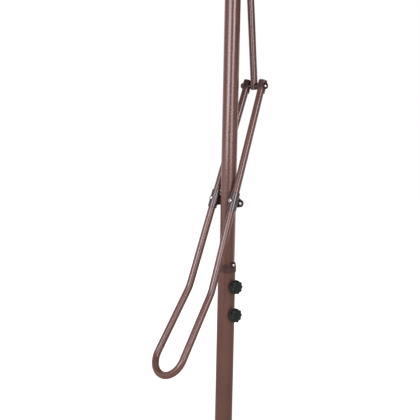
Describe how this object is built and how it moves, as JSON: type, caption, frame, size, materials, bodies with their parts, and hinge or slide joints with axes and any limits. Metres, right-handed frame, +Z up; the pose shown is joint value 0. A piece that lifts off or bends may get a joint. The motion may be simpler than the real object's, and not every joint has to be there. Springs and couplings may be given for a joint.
{
  "type": "cantilever parasol mast with lever handle",
  "caption": "Two-piece parasol mast on a bolt-down flange, with a swivel joint and lock knobs, a hairpin lever handle clamped to the mast, and a push strut.",
  "frame": {"origin": "centre of the bolt circle on the lower face of the base flange", "axes": "+Z up the mast; Y along the pivot bolt, link bolt and knob studs, with the knobs on the -Y side; +X towards the strut, -X towards the handle's loop"},
  "size_m": [0.3842, 0.14, 1.4251],
  "materials": {
    "powder_coat": "fine satin powder coat, dark brown",
    "fitting_plastic": "moulded satin plastic, dark brown",
    "collar_plastic": "moulded satin plastic, brown, close to the pole's",
    "ring_plastic": "moulded satin plastic, black",
    "knob_plastic": "moulded matt plastic, charcoal",
    "bush_plastic": "moulded plastic, black",
    "chrome": "bright plated steel",
    "zinc_steel": "zinc-plated steel"
  },
  "bodies": {
    "base": {"base_flange": "powder_coat", "lower_pole": "powder_coat", "joint_bush": "bush_plastic", "upper_knob_boss": "powder_coat", "lower_knob_boss": "powder_coat"},
    "mast": {"upper_pole": "powder_coat", "joint_collar": "collar_plastic", "collar_bolt": "chrome", "collar_bolt_ring": "ring_plastic", "collar_nut": "zinc_steel", "collar_nut_cap": "ring_plastic", "pole_foot_plug": "bush_plastic", "mast_top_bush": "fitting_plastic", "near_pivot_saddle": "fitting_plastic", "far_pivot_saddle": "fitting_plastic", "pivot_bolt": "chrome", "pivot_bolt_ring": "ring_plastic", "pivot_nut": "zinc_steel", "pivot_nut_cap": "ring_plastic"},
    "handle": {"handle_tube": "powder_coat", "near_clamp": "fitting_plastic", "far_clamp": "fitting_plastic", "near_clamp_screw": "chrome", "far_clamp_screw": "chrome", "near_end_cap": "collar_plastic", "far_end_cap": "collar_plastic", "link_bolt": "chrome", "link_bolt_ring": "ring_plastic", "link_nut": "zinc_steel", "link_nut_cap": "ring_plastic"},
    "strut": {"strut_tube": "powder_coat", "strut_lower_plug": "fitting_plastic", "strut_top_plug": "fitting_plastic", "near_link_spacer": "fitting_plastic", "far_link_spacer": "fitting_plastic"},
    "upper_knob": {"upper_knob_head": "knob_plastic", "upper_knob_stud": "zinc_steel"},
    "lower_knob": {"lower_knob_head": "knob_plastic", "lower_knob_stud": "zinc_steel"}
  },
  "joints": [
    {"name": "mast_swivel", "type": "hinge", "parent": "base", "child": "mast", "pos_m": [0, 0, 0.55], "axis": [0, 0, 1], "continuous": true},
    {"name": "handle_lift", "type": "hinge", "parent": "mast", "child": "handle", "pos_m": [0, 0, 0.759], "axis": [0, 1, 0], "range_deg": [-5, 110]},
    {"name": "strut_pivot", "type": "hinge", "parent": "handle", "child": "strut", "pos_m": [0.10016, 0, 1.11572], "axis": [0, 1, 0], "range_deg": [-112, 7]},
    {"name": "upper_knob_turn", "type": "hinge", "parent": "base", "child": "upper_knob", "pos_m": [0, -0.0373, 0.4965], "axis": [0, -1, 0], "range_deg": [0, 900]},
    {"name": "lower_knob_turn", "type": "hinge", "parent": "base", "child": "lower_knob", "pos_m": [0, -0.0373, 0.4065], "axis": [0, -1, 0], "range_deg": [0, 900]}
  ],
  "couplings": [
    {"joint": "strut_pivot", "follows": "handle_lift", "ratio": -1}
  ]
}
